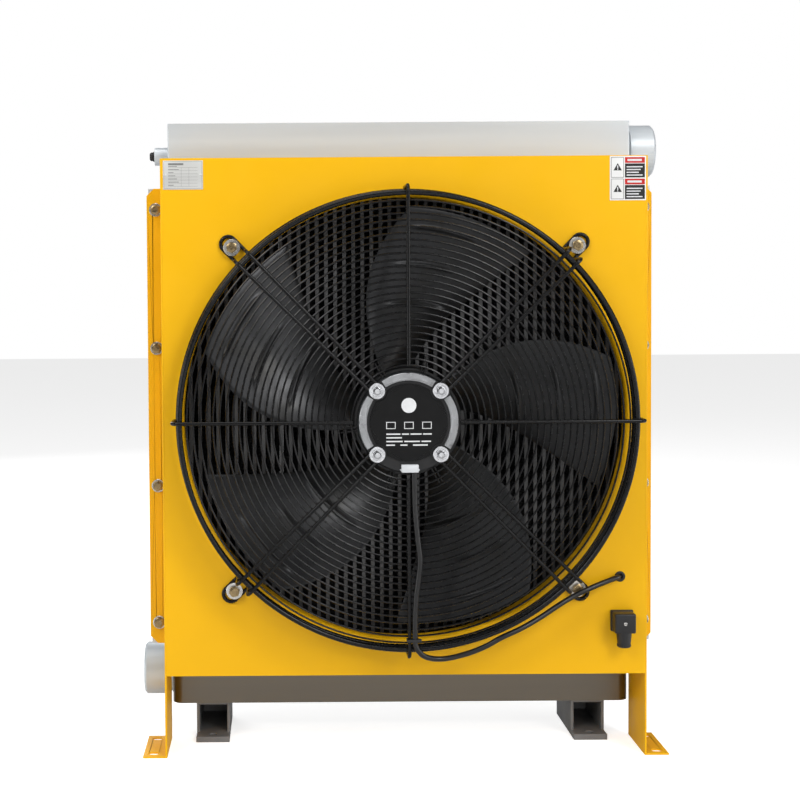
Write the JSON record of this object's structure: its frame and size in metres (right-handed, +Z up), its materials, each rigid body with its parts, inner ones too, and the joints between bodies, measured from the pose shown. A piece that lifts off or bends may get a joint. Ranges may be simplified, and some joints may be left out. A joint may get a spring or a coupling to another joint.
{
  "type": "hydraulic oil cooler",
  "caption": "Air-cooled hydraulic oil cooler: finned core with end tanks and side oil ports, in a fan shroud on legs with a guarded external-rotor axial fan.",
  "frame": {"origin": "centre of the four slots in the two shroud feet, on the floor", "axes": "+X to the right seen from the fan side, +Y from the fan side to the core side, +Z up"},
  "size_m": [0.714, 0.2625, 0.85],
  "materials": {
    "yellow_paint": "gloss powder coat",
    "bare_aluminium": "satin, brazed",
    "core_aluminium": "matt, dusty",
    "fin_aluminium": "matt",
    "foot_steel": "dark grey paint",
    "black_wire": "gloss black coat",
    "zinc_steel": "bright zinc",
    "motor_black": "satin black",
    "motor_silver": "turned",
    "label_black": "satin film",
    "outlet_plastic": "satin",
    "lamination": "stacked sheets",
    "copper": "varnished copper wire",
    "bearing_steel": "ground",
    "blade_steel": "satin charcoal coat",
    "cable_black": "smooth jacket",
    "rubber_black": "matt",
    "plug_black": "moulded, fine grain",
    "plate_silver": "brushed plate",
    "sticker_white": "printed film"
  },
  "bodies": {
    "root": {"front_panel": "yellow_paint", "fan_ring": "yellow_paint", "panel_top_flange": "yellow_paint", "panel_bottom_flange": "yellow_paint", "side_plate_left": "yellow_paint", "side_plate_right": "yellow_paint", "flange_bolts": "zinc_steel", "flange_washers": "zinc_steel", "flange_nuts": "zinc_steel", "upper_tank": "bare_aluminium", "lower_tank": "bare_aluminium", "core_side_left": "bare_aluminium", "core_side_right": "bare_aluminium", "upper_header": "core_aluminium", "lower_header": "core_aluminium", "core_tubes": "core_aluminium", "core_fins": "fin_aluminium", "inlet_port": "bare_aluminium", "outlet_port": "bare_aluminium", "sensor_port": "bare_aluminium", "port_plug": "plug_black", "core_foot_left": "foot_steel", "core_foot_right": "foot_steel", "guard_rings": "black_wire", "guard_back_rings": "black_wire", "guard_arm_1": "black_wire", "guard_arm_2": "black_wire", "guard_arm_3": "black_wire", "guard_arm_4": "black_wire", "guard_stays": "black_wire", "guard_short_stays": "black_wire", "guard_bolts": "zinc_steel", "guard_washers": "zinc_steel", "guard_nuts": "zinc_steel", "motor_flange": "motor_black", "motor_rim": "motor_silver", "motor_label": "label_black", "motor_bolts": "zinc_steel", "cable_outlet": "outlet_plastic", "stator_core": "lamination", "stator_winding": "copper", "bearing_outer_rings": "bearing_steel", "motor_lead": "cable_black", "lead_grommet": "rubber_black", "cable_tie": "plug_black", "plug_base": "plug_black", "plug_body": "plug_black", "plug_screw": "zinc_steel", "nameplate": "plate_silver", "safety_label": "sticker_white"},
    "impeller": {"bearing_inner_rings": "bearing_steel", "bearing_balls": "bearing_steel", "motor_shaft": "bearing_steel", "rotor_shell": "motor_black", "rotor_cage": "lamination", "fan_blade_1": "blade_steel", "fan_blade_2": "blade_steel", "fan_blade_3": "blade_steel", "fan_blade_4": "blade_steel", "fan_blade_5": "blade_steel"}
  },
  "joints": [
    {"name": "fan_spin", "type": "hinge", "parent": "root", "child": "impeller", "pos_m": [0, -0.052, 0.451], "axis": [0, 1, 0], "continuous": true}
  ]
}
